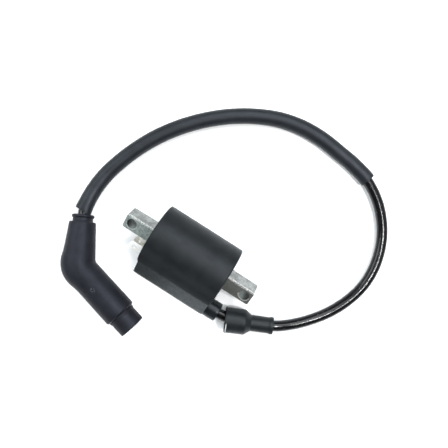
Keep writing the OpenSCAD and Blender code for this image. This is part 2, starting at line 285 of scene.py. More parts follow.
class Surface:
    """A procedural material on one Principled shader. Its textures are in millimetres."""

    def __init__(self, name, own_place, **constants):
        self.name = name
        self.material = bpy.data.materials.new(name)
        self.material.use_nodes = True
        self.nodes = self.material.node_tree.nodes
        self.links = self.material.node_tree.links
        self.shader = self.nodes["Principled BSDF"]
        for socket, value in constants.items():
            self.shader.inputs[socket.replace("_", " ")].default_value = value
        if own_place:
            source = self.nodes.new("ShaderNodeAttribute")
            source.attribute_name = "own_place"
            self.place = source.outputs["Vector"]
        else:
            source = self.nodes.new("ShaderNodeTexCoord")
            scale = self.nodes.new("ShaderNodeVectorMath")
            scale.operation = "SCALE"
            scale.inputs["Scale"].default_value = 1 / MM
            self.links.new(source.outputs["Object"], scale.inputs[0])
            self.place = scale.outputs[0]
        self.normal = None

    def stretched(self, stretch):
        mapping = self.nodes.new("ShaderNodeMapping")
        mapping.inputs["Scale"].default_value = stretch
        self.links.new(self.place, mapping.inputs["Vector"])
        return mapping.outputs[0]

    def noise(self, per_mm, detail=3, roughness=0.5, stretch=(1, 1, 1), distortion=0):
        texture = self.nodes.new("ShaderNodeTexNoise")
        texture.inputs["Scale"].default_value = per_mm
        texture.inputs["Detail"].default_value = detail
        texture.inputs["Roughness"].default_value = roughness
        texture.inputs["Distortion"].default_value = distortion
        self.links.new(self.stretched(stretch), texture.inputs["Vector"])
        return texture.outputs[0]

    def specks(self, per_mm, size, stretch=(1, 1, 1)):
        """1 in scattered small dots, 0 elsewhere."""
        texture = self.nodes.new("ShaderNodeTexVoronoi")
        texture.inputs["Scale"].default_value = per_mm
        self.links.new(self.stretched(stretch), texture.inputs["Vector"])
        return self.spread(texture.outputs["Distance"], size, size * 0.6, 0, 1)

    def spread(self, value, low, high, to_low, to_high):
        """Maps low..high to to_low..to_high, clamped, with soft ends."""
        node = self.nodes.new("ShaderNodeMapRange")
        node.interpolation_type = "SMOOTHSTEP"
        for socket, number in zip(node.inputs[1:5], (low, high, to_low, to_high)):
            socket.default_value = number
        self.links.new(value, node.inputs[0])
        return node.outputs[0]

    def combine(self, kind, a, b=0):
        """A Math node of that kind on numbers or sockets."""
        node = self.nodes.new("ShaderNodeMath")
        node.operation = kind
        for socket, value in zip(node.inputs, (a, b)):
            if isinstance(value, (int, float)):
                socket.default_value = value
            else:
                self.links.new(value, socket)
        return node.outputs[0]

    def times(self, product, *others):
        """Multiplies shares."""
        for other in others:
            product = self.combine("MULTIPLY", product, other)
        return product

    def split(self):
        """The place's x, y and z."""
        node = self.nodes.new("ShaderNodeSeparateXYZ")
        self.links.new(self.place, node.inputs[0])
        return tuple(node.outputs)

    def mix(self, share, a, b):
        """Colour a where share is 0, and b where it is 1."""
        node = self.nodes.new("ShaderNodeMix")
        node.data_type = "RGBA"
        self.links.new(share, node.inputs[0])
        for socket, colour in ((node.inputs[6], a), (node.inputs[7], b)):
            if isinstance(colour, tuple):
                socket.default_value = (*colour, 1)
            else:
                self.links.new(colour, socket)
        return node.outputs[2]

    def so_far(self, socket):
        """What feeds the shader's socket so far."""
        return self.shader.inputs[socket].links[0].from_socket

    def colour(self, value):
        self.links.new(value, self.shader.inputs["Base Color"])

    def roughness(self, value):
        self.links.new(value, self.shader.inputs["Roughness"])

    def bump(self, height, depth):
        """Adds relief of that depth in millimetres."""
        node = self.nodes.new("ShaderNodeBump")
        node.inputs["Distance"].default_value = depth * MM
        self.links.new(height, node.inputs["Height"])
        if self.normal is not None:
            self.links.new(self.normal, node.inputs["Normal"])
        self.normal = node.outputs[0]
        self.links.new(self.normal, self.shader.inputs["Normal"])


def shaded(colour, share):
    return tuple(share * c for c in colour)


def moulded(name, dark, light, gloss, own_place=True, grain=0.02, dust=0.3, shine=0.2,
            tint=(0.9, 0.97, 1)):
    """Moulded plastic or rubber: cloudy colour, fine pebbled skin, uneven gloss, a little dust."""
    skin_ = Surface(name, own_place, Specular_IOR_Level=shine, Specular_Tint=(*tint, 1))
    clouds = skin_.noise(0.12, detail=4)
    fine = skin_.noise(2.5, detail=4, roughness=0.65)
    wear_and_painted_light = skin_.noise(0.35, detail=5, roughness=0.7, stretch=(0.5, 1, 1))
    base = skin_.mix(skin_.spread(clouds, 0.3, 0.7, 0, 1), dark, light)
    dusty = tuple(c * 2.2 + 0.006 for c in light)
    dust_share = skin_.spread(fine, 0.62, 0.8, 0, dust)
    skin_.colour(skin_.mix(dust_share, base, dusty))
    skin_.roughness(skin_.spread(wear_and_painted_light, 0.3, 0.72, *gloss))
    skin_.bump(fine, grain)
    skin_.bump(clouds, grain * 2)
    return skin_


def housing_plastic():
    """The body's plastic, with painted light on the lobe: paler there, and most of all towards the outlet."""
    # The third colour is painted light: the lobe's side is painted paler where the light falls on it.
    dark, light, wear_and_painted_light = (0.0045, 0.0054, 0.0062), (0.007, 0.0085, 0.0095), (0.05, 0.057, 0.06)
    flank, lobe_side, lobe_top = -14, -17.2, -19.5
    glossy, dull, stub_share = 0.4, 0.95, 0.62
    skin_ = moulded("housing", dark, light, (0.44, 0.54), grain=0.012, dust=0.12, tint=(0.89, 0.945, 1))
    x, y, _ = skin_.split()
    on_lobe = skin_.spread(y, lobe_side, lobe_top, 0, 1)
    along = skin_.spread(x, HOUSING_START, HOUSING_END, 0.4, 0.85)
    patchy = skin_.spread(skin_.noise(0.5, detail=5), 0.3, 0.7, 0.6, 1)
    on_body = skin_.spread(x, HOUSING_END - 0.1, HOUSING_END + 0.1, 1, 0)
    # Where the painted light lies: on the lobe, growing towards the outlet, in patches, and not on the stub.
    painted_lobe_light = skin_.times(on_lobe, along, patchy, on_body)
    skin_.colour(skin_.mix(painted_lobe_light, skin_.so_far("Base Color"), wear_and_painted_light))
    dulled = skin_.combine("MINIMUM", skin_.spread(y, 6, -7, glossy, dull),
                           skin_.spread(y, flank, lobe_side, dull, glossy))
    gloss = skin_.combine("MAXIMUM", skin_.so_far("Roughness"), dulled)
    skin_.roughness(skin_.times(gloss, skin_.spread(on_body, 0, 1, stub_share, 1)))
    return skin_


def boot_rubber():
    """The boot's rubber, with a painted glint: a pale line along the edge of its mouth on one side."""
    skin_ = moulded("boot", (0.0048, 0.0056, 0.0063), (0.0078, 0.009, 0.01), (0.37, 0.5))
    # This pale colour paints a glint on the edge of the mouth.
    wear_and_painted_light = (0.4, 0.41, 0.42)
    along, across, _ = skin_.split()
    # Where the painted glint lies: a thin band just inside the mouth's edge, on one side.
    pale = skin_.times(skin_.spread(along, 0.7, 0.9, 0, 1), skin_.spread(along, 1.5, 1.3, 0, 1),
                       skin_.spread(across, -0.5, -2.5, 0, 1), skin_.spread(across, -7.6, -6.8, 0, 1))
    skin_.colour(skin_.mix(pale, skin_.so_far("Base Color"), wear_and_painted_light))
    return skin_


def cap_plastic(tint):
    """The cap's plastic, with a scuff on top of the plug's arm."""
    scuff_place, scuff_r, torn = (17.9, 2.0, -10.1), 2.0, (0.14, 0.14, 0.16)
    skin_ = moulded("cap", (0.0062, 0.0064, 0.0088), (0.0095, 0.0098, 0.013), (0.46, 0.58), dust=0.2,
                    shine=0.18, tint=tint)
    gap = skin_.nodes.new("ShaderNodeVectorMath")
    gap.operation = "DISTANCE"
    gap.inputs[1].default_value = scuff_place
    skin_.links.new(skin_.place, gap.inputs[0])
    near = skin_.spread(gap.outputs["Value"], scuff_r * 0.4, scuff_r, 1, 0)
    ragged = skin_.spread(skin_.noise(1.1, detail=5, roughness=0.75), 0.5, 0.6, 0, 1)
    scuff = skin_.times(near, ragged)
    skin_.colour(skin_.mix(scuff, skin_.so_far("Base Color"), torn))
    skin_.bump(scuff, 0.12)
    skin_.bump(skin_.noise(0.4, detail=4, roughness=0.6), 0.11)
    return skin_


def metal(name, dark, light, gloss, brush, own_place=True, depth=0.004, share=1.0, **constants):
    """Metal with brush marks along one way, dull patches and small pits."""
    skin_ = Surface(name, own_place, Metallic=share, **constants)
    marks = skin_.noise(1.0, detail=5, roughness=0.7, stretch=brush)
    patches = skin_.noise(0.25, detail=4, roughness=0.6)
    pits = skin_.noise(3.0, detail=3, roughness=0.7)
    tone = skin_.combine("ADD", marks, patches)
    skin_.colour(skin_.mix(skin_.spread(tone, 0.8, 1.2, 0, 1), dark, light))
    skin_.roughness(skin_.spread(tone, 0.7, 1.3, *gloss))
    skin_.bump(marks, depth)
    skin_.bump(pits, depth)
    return skin_


def core_steel():
    """The core's steel: darker and not metallic on the outlet's hole face, with painted shade in the holes, bright
    on its edges.
    """
    # The second colour is the darker colour of the outlet end's hole face.
    hole_face, dark_face_colour, scraped = (0.28, 0.325, 0.305), (0.038, 0.039, 0.034), (0.8, 0.8, 0.78)
    # Painted light and shade for the bolt holes' walls: a lit colour and a nearly black shaded colour.
    hole_wall_lit, hole_wall_shade = (0.13, 0.155, 0.145), (0.006, 0.008, 0.008)
    plain_share = 0.7
    skin_ = metal("core", (0.17, 0.178, 0.174), (0.37, 0.38, 0.37), (0.36, 0.52), (1.5, 0.4, 0.4), depth=0.02)
    x, y, z = skin_.split()
    mottle = skin_.noise(0.9, detail=5, roughness=0.7)
    grime = skin_.noise(1.6, detail=4, roughness=0.7)
    blotch = skin_.spread(mottle, 0.35, 0.65, 0, 1)
    on_face = skin_.spread(z, CORE_W / 2 - 0.25, CORE_W / 2 - 0.12, 0, 1)
    # The outlet end's hole face is given a darker colour and is not metallic.
    on_dark_face = skin_.times(on_face, skin_.spread(x, -1, 1, 0, 1))

    from_hole = skin_.combine("SUBTRACT", skin_.combine("ABSOLUTE", x), HOLE_SPACING / 2)
    squares = skin_.combine("ADD", skin_.times(from_hole, from_hole), skin_.times(y, y))
    radius = skin_.combine("POWER", squares, 0.5)
    in_hole = skin_.spread(radius, HOLE_R + 0.06, HOLE_R + 0.14, 1, 0)
    low_side = skin_.combine("SUBTRACT", skin_.spread(y, 0.5, -1.5, 0, 1), in_hole)
    rim = skin_.times(skin_.spread(radius, HOLE_R + 0.8, HOLE_R + 0.6, 0, 1), low_side)
    corner = skin_.spread(skin_.combine("ADD", y, z), CORE_W - 1.3, CORE_W - 0.8, 0, 1)
    bright = skin_.times(skin_.combine("MAXIMUM", rim, corner), skin_.spread(grime, 0.45, 0.55, 0, 1))

    face = skin_.mix(blotch, shaded(hole_face, 0.7), shaded(hole_face, 1.35))
    dull = skin_.mix(blotch, dark_face_colour, shaded(dark_face_colour, 1.5))
    # Painted shade in the holes: the walls are lit on the side towards the core's middle and shaded towards its
    # ends.
    wall = skin_.mix(skin_.spread(from_hole, -HOLE_R * 0.5, HOLE_R * 0.6, 0, 1), hole_wall_lit, hole_wall_shade)
    tone = skin_.mix(on_face, skin_.so_far("Base Color"), face)
    tone = skin_.mix(on_dark_face, tone, dull)
    tone = skin_.mix(in_hole, tone, wall)
    skin_.colour(skin_.mix(bright, tone, scraped))
    uncovered = skin_.combine("SUBTRACT", 1, skin_.combine("MAXIMUM", on_dark_face, in_hole))
    metallic = skin_.combine("MAXIMUM", skin_.times(uncovered, plain_share), bright)
    skin_.links.new(metallic, skin_.shader.inputs["Metallic"])
    skin_.bump(mottle, 0.03)
    return skin_


def lead_rubber():
    """The lead's glossy jacket: drawn lengthwise, and worn in places."""
    skin_ = Surface("lead", True, Specular_IOR_Level=0.24)
    drawn = skin_.noise(1.2, detail=3, stretch=(0.03, 1, 1))
    wear_and_painted_light = skin_.noise(0.55, detail=6, roughness=0.8, stretch=(0.6, 1, 1))
    skin_.colour(skin_.mix(skin_.specks(0.35, 0.1), (0.003, 0.003, 0.0034), (0.12, 0.12, 0.12)))
    skin_.roughness(skin_.spread(wear_and_painted_light, 0.42, 0.58, 0.06, 0.26))
    skin_.bump(drawn, 0.008)
    skin_.bump(wear_and_painted_light, 0.05)
    return skin_


def resin(name, own_place):
    """Poured black resin: glossy, uneven, with small bubbles."""
    skin_ = Surface(name, own_place, Coat_Weight=0.3, Coat_Roughness=0.1)
    pool = skin_.noise(0.18, detail=4)
    skin_.colour(skin_.mix(skin_.spread(pool, 0.3, 0.7, 0, 1), (0.006, 0.006, 0.0065), (0.015, 0.015, 0.016)))
    skin_.roughness(skin_.spread(pool, 0.3, 0.7, 0.12, 0.32))
    skin_.bump(skin_.specks(0.45, 0.12), 0.08)
    skin_.bump(pool, 0.08)
    return skin_


def bench_top():
    """Matt white paper."""
    skin_ = Surface("bench", False, Specular_IOR_Level=0.2, Roughness=0.8)
    paper = skin_.spread(skin_.noise(0.01, detail=4), 0.3, 0.7, 0, 1)
    skin_.colour(skin_.mix(paper, (0.93, 0.935, 0.935), (0.95, 0.95, 0.945)))
    skin_.bump(skin_.noise(0.6, detail=3), 0.02)
    return skin_


def make_materials():
    purple = (0.79, 0.845, 1)
    made = [
        housing_plastic(), boot_rubber(), cap_plastic(purple),
        moulded("seal", (0.0062, 0.0063, 0.0085), (0.0095, 0.0096, 0.0125), (0.48, 0.6), tint=purple),
        moulded("sleeve", (0.006, 0.0072, 0.0088), (0.0095, 0.0112, 0.0135), (0.42, 0.52), dust=0.15,
                shine=0.245, tint=(0.86, 0.91, 1)),
        lead_rubber(), core_steel(),
        metal("tin", (0.62, 0.59, 0.5), (0.95, 0.93, 0.86), (0.4, 0.6), (0.4, 2, 2), share=0.45),
        # A paler copy of the tin: a painted highlight for the spade that catches more light.
        metal("tin_painted_highlight", (0.86, 0.85, 0.81), (0.95, 0.95, 0.93), (0.4, 0.6), (0.4, 2, 2), share=0.3),
        metal("brass", (0.48, 0.33, 0.12), (0.72, 0.54, 0.24), (0.2, 0.38), (0.5, 3, 3), False),
        metal("nickel", (0.4, 0.39, 0.36), (0.64, 0.63, 0.6), (0.15, 0.3), (0.5, 2, 2), False),
        metal("spring", (0.25, 0.25, 0.26), (0.5, 0.5, 0.51), (0.25, 0.4), (1, 3, 3), False),
        metal("strands", (0.4, 0.17, 0.08), (0.68, 0.36, 0.2), (0.25, 0.4), (0.2, 3, 3), False),
        metal("enamel", (0.26, 0.08, 0.02), (0.5, 0.2, 0.07), (0.2, 0.35), (6, 0.05, 0.05), False,
              depth=0.03, Coat_Weight=0.6, Coat_Roughness=0.12),
        resin("resin", False), resin("resin_top", True),
        moulded("bobbin", (0.42, 0.38, 0.26), (0.58, 0.53, 0.4), (0.35, 0.5), False, dust=0),
        moulded("ceramic", (0.66, 0.63, 0.56), (0.8, 0.78, 0.72), (0.4, 0.6), False, dust=0),
        moulded("film", (0.45, 0.28, 0.05), (0.6, 0.42, 0.1), (0.15, 0.3), False, dust=0),
        bench_top()]
    return {surface.name: surface.material for surface in made}


PAINT = make_materials()


# ---------- The lead and its sleeve ----------

# Middle line of the lead, from inside the outlet to inside the cap
OUTLET = COIL.out([0, -OUTLET_OFFSET, 0])
LEAD_START = 16.5
ROUTE = [
    [LEAD_START, OUTLET[1], OUTLET[2]], [LEAD_START + 8, OUTLET[1], OUTLET[2]],
    [STUB_END + 1, OUTLET[1], OUTLET[2]],
    [44.5, -16.8, 7.4], boot_at(15), boot_at(32),
    [78, 0, 6.5], [87.5, 9.2, 4.8], [96, 20.4, 3.8], [102.2, 33, 3.6], [105.8, 46.6, 3.6],
    [105.8, 60, 3.6], [102.4, 73.8, 3.6], [95.6, 86.6, 4.2], [84.4, 98.6, 4.8],
    [71.4, 106.6, 5.2], [58.6, 110.4, 5.2], [45.5, 112.3, 5.2], [31, 113.8, 5.2],
    [16, 113.2, 5.2], [1, 109.7, 5.2], [-13, 103.4, 5.2], [-26, 95.2, 5.2],
    [-38, 85.2, 5.2], [-48.7, 73.8, 5.2], [-58, 61.2, 5.2], [-65.6, 47.6, 5.2],
    [-71.4, 33.2, 5.2], [-75.5, 18, 5.4], [-76.2, 3, 6.6],
    cap_at(SEAL_END + SLEEVE_GAP), cap_at(SEAL_END + 0.5), cap_at(CONDUCTOR_IN_CAP), cap_at(LEAD_IN_CAP)]
SLEEVE_FIRST = 15
SLEEVE_LAST = len(ROUTE) - 4
LEAD_STEP = 1.25
lead_at, lead_line = smooth_route(ROUTE, LEAD_STEP)


def nearest_ring(point):
    return int(np.argmin(np.linalg.norm(lead_line - np.array(point), axis=1)))


def make_lead():
    """The lead's jacket, swept along the lead's middle line."""
    def jacket(s, angles):
        return LEAD_R + 0.03 * np.sin(3 * angles + s / 23) + 0.02 * math.sin(s / 7)

    def bore(s, angles):
        return JACKET_BORE_R + 0 * angles

    local, world, faces = swept(lead_at, lead_line, jacket, bore)
    lead = build("lead_jacket", local, world, faces, "coil", "lead_jacket", PAINT["lead"],
                 ["lead_insulation"])


def make_sleeve():
    """The sleeve: slightly flattened, and pushed out and cut aslant at its ends."""
    first, last = nearest_ring(ROUTE[SLEEVE_FIRST]), nearest_ring(ROUTE[SLEEVE_LAST])
    start, end = lead_at[first], lead_at[last]
    cut_edge = 0.15

    def squash(s, angles):
        oval = (0.12 + 0.08 * math.sin(s / 31) + 0.1 * math.exp(-(s - start) / 3)
                + 0.4 * math.exp(-(end - s) / 5))
        pushed_out = 0.5 * (math.exp(-(s - start) / 6) + math.exp(-(end - s) / 8)) * np.cos(angles)
        return oval * np.cos(2 * angles) + pushed_out + 0.03 * np.sin(3 * angles + s / 17)

    def slant(s):
        return 0.12 * math.exp(-(s - start) / 4) - 0.3 * math.exp(-(end - s) / 4)

    def outside(s, angles):
        return SLEEVE_R + squash(s, angles) - cut_edge * (s in (start, end))

    def inside(s, angles):
        return SLEEVE_BORE_R + squash(s, angles)

    span = slice(first, last + 1)
    local, world, faces = swept(lead_at[span], lead_line[span], outside, inside, slant)
    build("loose_sleeve", local, world, faces, "coil", "sleeve_vinyl", PAINT["sleeve"],
          ["protective_sleeve"])


def make_boot():
    """The boot: a bell that fits the outlet, a cone and a neck with a lip, a little out of round."""
    outer, bell, cone, neck, lip = 8.3, 13.0, 17.0, 5.2, 5.6
    wall, rim_len, lip_len = 1.2, 0.9, 2
    inner = outer - wall
    corners = [
        (0, inner, 0.4), (0, outer, 0.5), (rim_len, outer, 0.2), (rim_len + 0.4, outer - 0.15, 0.3),
        (bell, outer - 0.1, 2.2), (cone, neck, 1.6), (BOOT_LEN - lip_len - 1, neck, 1.2),
        (BOOT_LEN - lip_len, lip, 0.35), (BOOT_LEN, lip, 0.45), (BOOT_LEN, BORE_R, 0.2),
        (cone - 1.5, BORE_R, 0.8), (bell - 1, inner, 0.8)]

    def slack(s, angles):
        return 0.1 * np.cos(2 * angles + 0.6) * math.exp(-s / 9) + 0.05 * np.sin(3 * angles + s / 5)

    outline = split_long(soften(corners), 2)
    build("boot_shell", *turned(BOOT, outline, wobble=slack), "coil", "boot_rubber", PAINT["boot"],
          ["outlet_boot"])


# ---------- The coil ----------

def arc(centre, radius, start, end, steps):
    """Points round an arc, from one angle to another."""
    angles = np.linspace(start, end, steps)
    return np.array(centre) + radius * np.column_stack([np.cos(angles), np.sin(angles)])


def coil_outline():
    """Outline of the body with its lobe, in the coil's own (y, z), and its outward directions."""
    fillet = 0.25
    lobe = np.array([-OUTLET_OFFSET, 0.0])
    facing = np.array([-math.sin(LOBE_TAPER), math.cos(LOBE_TAPER)])
    along = np.array([facing[1], -facing[0]])
    flat = LOBE_R + facing @ lobe + fillet
    bend = flat * facing - math.sqrt((BODY_R + fillet) ** 2 - flat ** 2) * along
    away = math.atan2(bend[1], bend[0])
    lean = math.atan2(facing[1], facing[0])
    flat_start = lobe + LOBE_R * facing
    flat_end = bend - fillet * facing
    upper = [
        arc((0, 0), BODY_R, 0, away, 48),
        arc(bend, fillet, away + math.pi, lean + math.pi, 7)[1:],
        np.linspace(flat_end, flat_start, 6)[1:],
        arc(lobe, LOBE_R, lean, math.pi, 14)[1:]]
    upper = np.concatenate(upper)
    lower = upper[-2:0:-1] * [1, -1]
    outline = np.concatenate([upper, lower])
    ways = np.roll(outline, -1, axis=0) - np.roll(outline, 1, axis=0)
    ways /= np.linalg.norm(ways, axis=1)[:, None]
    return outline, np.column_stack([ways[:, 1], -ways[:, 0]])


def make_housing():
    """The housing: an open can with a rounded rim, its end wall round the core, and the outlet's stub."""
    outline, outward = coil_outline()
    towards = outline / np.linalg.norm(outline, axis=1)[:, None]
    square = towards / np.abs(towards).max(axis=1)[:, None] * (CORE_W / 2 + 0.1)
    cavity_r, cavity_shown = BODY_R - WALL, 12
    rim, edge = 0.5, 1.1
    stub_bore, stub_sunk = 5, 1.5

    def ring(x, points):
        return np.column_stack([np.full(len(points), x), points])

    def inset(x, depth):
        return ring(x, outline - depth * outward)

    rings = [ring(HOUSING_START + cavity_shown, towards * cavity_r),
             ring(HOUSING_START + rim, towards * cavity_r),
             ring(HOUSING_START + 0.1, towards * (cavity_r + 0.1)),
             ring(HOUSING_START, towards * (cavity_r + 0.4)), inset(HOUSING_START, rim - 0.05)]
    rings += [inset(HOUSING_START + rim - rim * math.cos(t), rim - rim * math.sin(t))
              for t in np.linspace(0.2, math.pi / 2, 4)]
    rings += [inset(x, 0) for x in np.linspace(HOUSING_START + 2, HOUSING_END - 2, 18)]
    rings += [inset(HOUSING_END - edge + edge * math.sin(t), edge - edge * math.cos(t))
              for t in np.linspace(0, math.pi / 2, 7)]
    rings += [ring(HOUSING_END, outline * 0.55 + square * 0.45), ring(HOUSING_END, square * 1.03),
              ring(HOUSING_END - 0.2, square), ring(HOUSING_END - END_WALL, square),
              ring(HOUSING_END - END_WALL, towards * cavity_r)]
    local, faces = skin(rings)

    tip = [(STUB_END, BORE_R, 0.3), (STUB_END - stub_bore, BORE_R, 0), (HOUSING_END - stub_sunk, BORE_R, 0),
           (HOUSING_END - stub_sunk, STUB_R - 0.1, 0), (HOUSING_END + 0.6, STUB_R, 0),
           (STUB_END, STUB_R, 0.6)]
    stub, _, stub_faces = turned(COIL, split_long(soften(tip), 2), sides=64)
    stub = stub + [0, -OUTLET_OFFSET, 0]
    faces += [tuple(i + len(local) for i in face) for face in stub_faces]
    local = np.concatenate([local, stub])
    build("housing_shell", local, COIL.out(local), faces, "coil", "housing_plastic", PAINT["housing"],
          ["housing"])


def plate(outline, holes, thickness, bevel):
    """A flat plate with round holes (x, y, radius) and bevelled edges, as points and faces."""
    curve = bpy.data.curves.new("plate", "CURVE")
    curve.dimensions = "2D"
    curve.fill_mode = "BOTH"
    curve.extrude = thickness / 2 - bevel
    curve.bevel_depth = bevel
    curve.bevel_resolution = 1
    curve.offset = -bevel
    loops = [outline] + [arc((x, y), r, 0, -TURN, 33)[:-1] for x, y, r in holes]
    for loop in loops:
        spline = curve.splines.new("POLY")
        spline.points.add(len(loop) - 1)
        for point, (x, y) in zip(spline.points, loop):
            point.co = (x, y, 0, 1)
        spline.use_cyclic_u = True
    holder = bpy.data.objects.new("plate", curve)
    bpy.context.scene.collection.objects.link(holder)
    mesh = bpy.data.meshes.new_from_object(holder.evaluated_get(bpy.context.evaluated_depsgraph_get()))
    bpy.data.objects.remove(holder)
    shape = bmesh.new()
    shape.from_mesh(mesh)
    bmesh.ops.remove_doubles(shape, verts=shape.verts, dist=0.001)
    points = np.array([v.co for v in shape.verts])
    faces = [tuple(v.index for v in f.verts) for f in shape.faces]
    shape.free()
    return points, faces


def make_core():
    """The core: thin punched plates, each a little out of line."""
    plates, gap, bevel = 20, 0.015, 0.045
    low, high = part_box("core_laminations")
    length = (high.x - low.x) / MM
    pitch = CORE_W / plates
    half_l, half_w, corner = length / 2, CORE_W / 2, 1.2
    corners = [(-half_l, -half_w, corner), (half_l, -half_w, corner), (half_l, half_w, corner),
               (-half_l, half_w, corner)]
    holes = [(side * HOLE_SPACING / 2, 0, HOLE_R) for side in (-1, 1)]
    points, faces = plate(soften(corners, 7), holes, pitch - gap, bevel)
    chance = np.random.default_rng(4)
    all_points, all_faces = [], []
    for i in range(plates):
        shift = [chance.normal(0, 0.03), chance.normal(0, 0.02), (i + 0.5) * pitch - half_w]
        all_faces += [tuple(v + len(points) * i for v in face) for face in faces]
        all_points.append(points + shift)
    local = np.concatenate(all_points)
    build("core_plates", local, COIL.out(local), all_faces, "coil", "core_steel", PAINT["core"],
          ["core_laminations"])


def make_spade(name, node, paint):
    """A blade terminal with a lock hole, a chamfered nose and a thinned tip."""
    nose, hole_in, hole_r, bevel = 1.2, 3.6, 1, 0.12
    thin_len, thin_share = 1.4, 0.45
    middle = COIL.inward(node_middle(node))
    low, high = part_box(node)
    reach = (high.x - low.x) / MM / 2
    half = SPADE_W / 2
    corners = [(-reach, -half + nose, 0.3), (-reach + nose, -half, 0.4), (reach, -half, 0),
               (reach, half, 0), (-reach + nose, half, 0.4), (-reach, half - nose, 0.3)]
    points, faces = plate(soften(corners), [(-reach + hole_in, 0, hole_r)], SPADE_T, bevel)
    thin = np.clip((-reach + thin_len - points[:, 0]) / thin_len, 0, 1)
    points[:, 2] *= 1 - thin_share * thin
    build(name, points, COIL.out(points + middle), faces, "coil", "tinned_brass", PAINT[paint], [node])


def make_resin_top():
    """The resin's face, which creeps up the housing, the core and the spades."""
    sides, steps, thickness, highest = 120, 26, 0.6, 0.6
    level, wall_r = HOUSING_START + 0.75, BODY_R - WALL - 0.03
    spades = [COIL.inward(node_middle(node))[1:] for node in ("feed_terminal", "earth_terminal")]
    angles = np.arange(sides) * TURN / sides
    towards = np.column_stack([np.cos(angles), np.sin(angles)])
    hole = towards / np.abs(towards).max(axis=1)[:, None] * (CORE_W / 2 + 0.03)
    rings = []
    for t in 0.5 - 0.5 * np.cos(np.linspace(0, math.pi, steps)):
        flat = hole + (towards * wall_r - hole) * t
        to_wall = wall_r - np.linalg.norm(flat, axis=1)
        to_core = np.abs(flat).max(axis=1) - CORE_W / 2
        height = 0.5 * np.exp(-to_wall / 0.7) + 0.35 * np.exp(-to_core / 0.8)
        for spade in spades:
            to_spade = np.maximum(np.abs(flat - spade) - [SPADE_W / 2, SPADE_T / 2], 0)
            height += 0.45 * np.exp(-np.linalg.norm(to_spade, axis=1) / 0.6)
        height += 0.05 * np.sin(flat[:, 0] / 3.1 + 1) * np.cos(flat[:, 1] / 4.3)
        rings.append(np.column_stack([level - np.minimum(height, highest), flat]))
    under = [np.column_stack([np.full(sides, level + thickness), ring[:, 1:]])
             for ring in (rings[-1], rings[0])]
    local, faces = skin(rings + under)
    build("resin_top", local, COIL.out(local), faces, "coil", "resin", PAINT["resin_top"])


# ---------- The plug cap ----------

BEND_R = 13.8
BEND_PLANE = unit(np.cross(arm1_way, arm2_way))
BEND_HALF = math.acos(np.clip(-arm1_way @ arm2_way, -1, 1)) / 2
BEND_IN = BEND_R * math.tan(BEND_HALF)
BEND_ARC = BEND_R * BEND_HALF


def bend_frame(s):
    """Middle and way of the cap at s along it: below 0 in arm 1 and above 0 in arm 2."""
    inner_way = unit(arm1_way + arm2_way)
    centre = ELBOW + inner_way * BEND_R / math.cos(BEND_HALF)
    if s < -BEND_ARC:
        return ELBOW + arm1_way * (BEND_IN - BEND_ARC - s), -arm1_way
    if s > BEND_ARC:
        return ELBOW + arm2_way * (BEND_IN - BEND_ARC + s), arm2_way
    turn = s / BEND_R
    across = unit(arm2_way - arm1_way)
    spoke = -inner_way * math.cos(turn) + across * math.sin(turn)
    return centre + BEND_R * spoke, across * math.cos(turn) + inner_way * math.sin(turn)


def arm1_place(s):
    return -(s - BEND_IN + BEND_ARC)


def arm2_place(s):
    return s - BEND_IN + BEND_ARC


def make_cap_shell():
    """The cap's elbow, with its bores, a swelling at the elbow's outer side and a fine moulding seam."""
    sides = 96
    collar, elbow_r, arm2_r, mouth = 8.5, 10.35, 10.3, 10.6
    seal_r, seal_depth, socket_r, socket_start, clip_r, clip_start = 5.5, 6.0, 7.5, 33.0, 4.6, 22.0
    rod_r, rod_end, spike_r, spike_start, lead_stop = 2.75, 6, 2, 8, 11
    swelling, swelling_len, seam_height, inner_limit = 1.45, 7.5, 0.06, 7.6
    corners = [
        (arm1_place(ARM1_LEN), seal_r, 0.2), (arm1_place(ARM1_LEN), collar, 0.45),
        (arm1_place(6), elbow_r, 6), (arm2_place(8), arm2_r, 4),
        (arm2_place(ARM2_LEN), mouth, 1.5), (arm2_place(ARM2_LEN), socket_r, 0.2),
        (arm2_place(socket_start), socket_r, 0), (arm2_place(socket_start), clip_r, 0),
        (arm2_place(clip_start), clip_r, 0), (arm2_place(clip_start), rod_r, 0),
        (arm1_place(rod_end), rod_r, 0), (arm1_place(spike_start), spike_r, 0),
        (arm1_place(lead_stop), spike_r, 0), (arm1_place(lead_stop), BORE_R, 0),
        (arm1_place(ARM1_LEN - seal_depth), BORE_R, 0), (arm1_place(ARM1_LEN - seal_depth), seal_r, 0)]
    rings, straight = [], []
    angles = np.arange(sides) * TURN / sides
    seam = seam_height * ((np.arange(sides) % (sides // 2)) == 0)
    for s, r in split_long(soften(corners), 0.9):
        middle, way = bend_frame(s)
        outer = np.cross(BEND_PLANE, way)
        if outer @ (arm1_way + arm2_way) > 0:
            outer = -outer
        up = np.cross(way, outer)
        skin_share = np.clip((r - inner_limit) / 0.5, 0, 1)
        bulge = swelling * math.exp(-(s / swelling_len) ** 2) * np.maximum(np.cos(angles), 0) ** 2
        radii = r + skin_share * (bulge + seam)
        c, z = (radii * np.cos(angles))[:, None], (radii * np.sin(angles))[:, None]
        rings.append(middle + c * outer + z * up)
        straight.append(np.column_stack([np.full(sides, s), c, z]))
    world, faces = skin(rings)
    build("cap_shell", np.concatenate(straight), world, faces, "plug_cap", "cap_plastic", PAINT["cap"],
          ["cap_body"])


